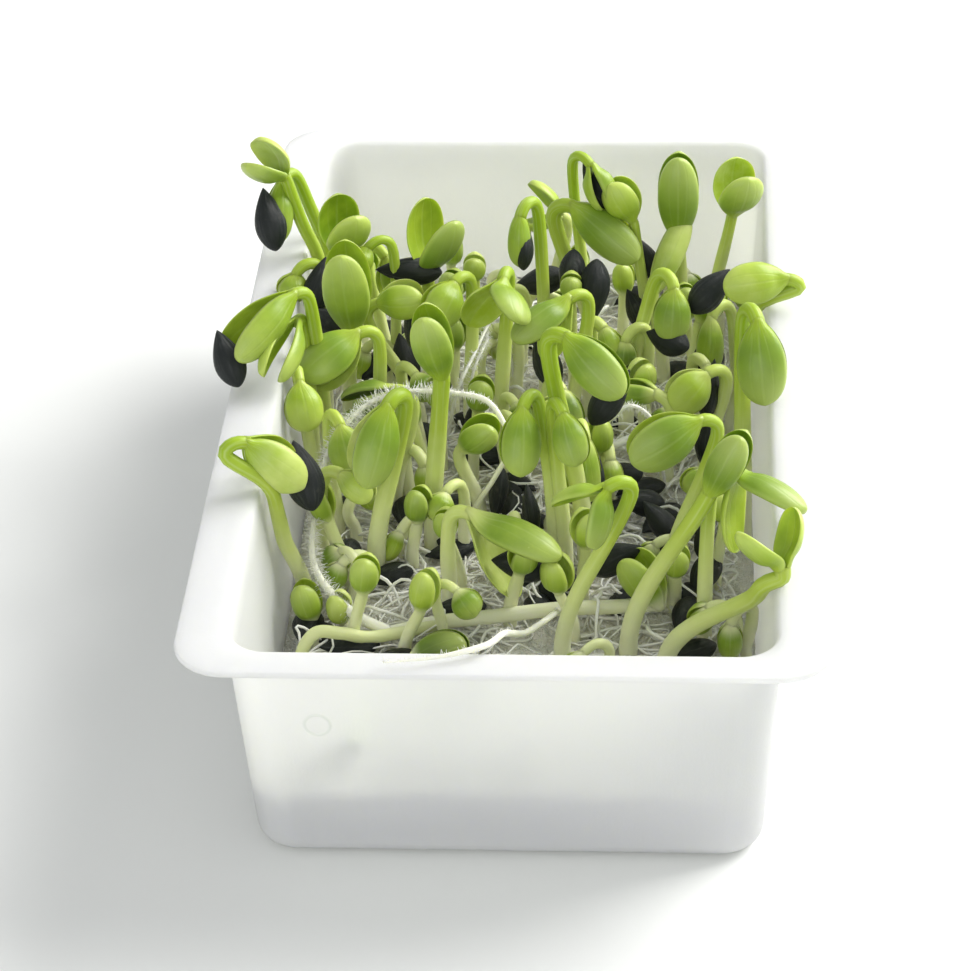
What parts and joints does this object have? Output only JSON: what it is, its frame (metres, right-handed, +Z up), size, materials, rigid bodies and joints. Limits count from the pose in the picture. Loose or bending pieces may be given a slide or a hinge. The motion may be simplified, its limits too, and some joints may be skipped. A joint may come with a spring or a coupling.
{
  "type": "microgreens tray",
  "caption": "Shallow see-through plastic tray of young sunflower microgreens standing in a white root mat, with black seed hulls on some heads and on the mat.",
  "frame": {"origin": "middle of the whole object's outline at the level of the tray's underside", "axes": "+Z up; +Y along the tray's long side, away from the side that the picture was taken from; +X to the right as seen from there"},
  "size_m": [0.123, 0.21, 0.0786],
  "materials": {
    "tray": "milky see-through plastic, satin",
    "root_mat": "matted white roots, damp",
    "sprout": "smooth living green, slightly waxy",
    "hull": "dry seed husk, striped black and dark grey"
  },
  "bodies": {
    "root": {"tray": "tray", "root_mat": "root_mat", "sprout_01": "sprout", "sprout_02": "sprout", "sprout_03": "sprout", "sprout_04": "sprout", "sprout_05": "sprout", "sprout_06": "sprout", "sprout_07": "sprout", "sprout_08": "sprout", "sprout_09": "sprout", "sprout_10": "sprout", "sprout_15": "sprout", "sprout_16": "sprout", "sprout_25": "sprout", "sprout_29": "sprout", "sprout_30": "sprout", "sprout_32": "sprout", "sprout_33": "sprout", "sprout_34": "sprout", "sprout_35": "sprout", "sprout_36": "sprout", "sprout_38": "sprout", "sprout_43": "sprout", "sprout_44": "sprout", "sprout_45": "sprout", "sprout_46": "sprout", "sprout_48": "sprout", "sprout_49": "sprout", "sprout_51": "sprout", "sprout_53": "sprout", "sprout_54": "sprout", "sprout_55": "sprout", "sprout_56": "sprout", "sprout_57": "sprout", "sprout_58": "sprout", "sprout_62": "sprout", "sprout_76": "sprout", "sprout_fallen": "sprout", "worn_hull_02": "hull", "worn_hull_11": "hull", "worn_hull_15": "hull", "worn_hull_32": "hull", "worn_hull_35": "hull", "worn_hull_38": "hull", "worn_hull_45": "hull", "worn_hull_49": "hull", "worn_hull_58": "hull", "worn_hull_62": "hull", "loose_hull_a": "hull", "loose_hull_b": "hull", "loose_hull_c": "hull", "loose_hull_d": "hull", "loose_hull_e": "hull", "loose_hull_f": "hull", "loose_hull_g": "hull", "loose_hull_h": "hull", "loose_hull_i": "hull", "loose_hull_j": "hull"}
  },
  "joints": []
}
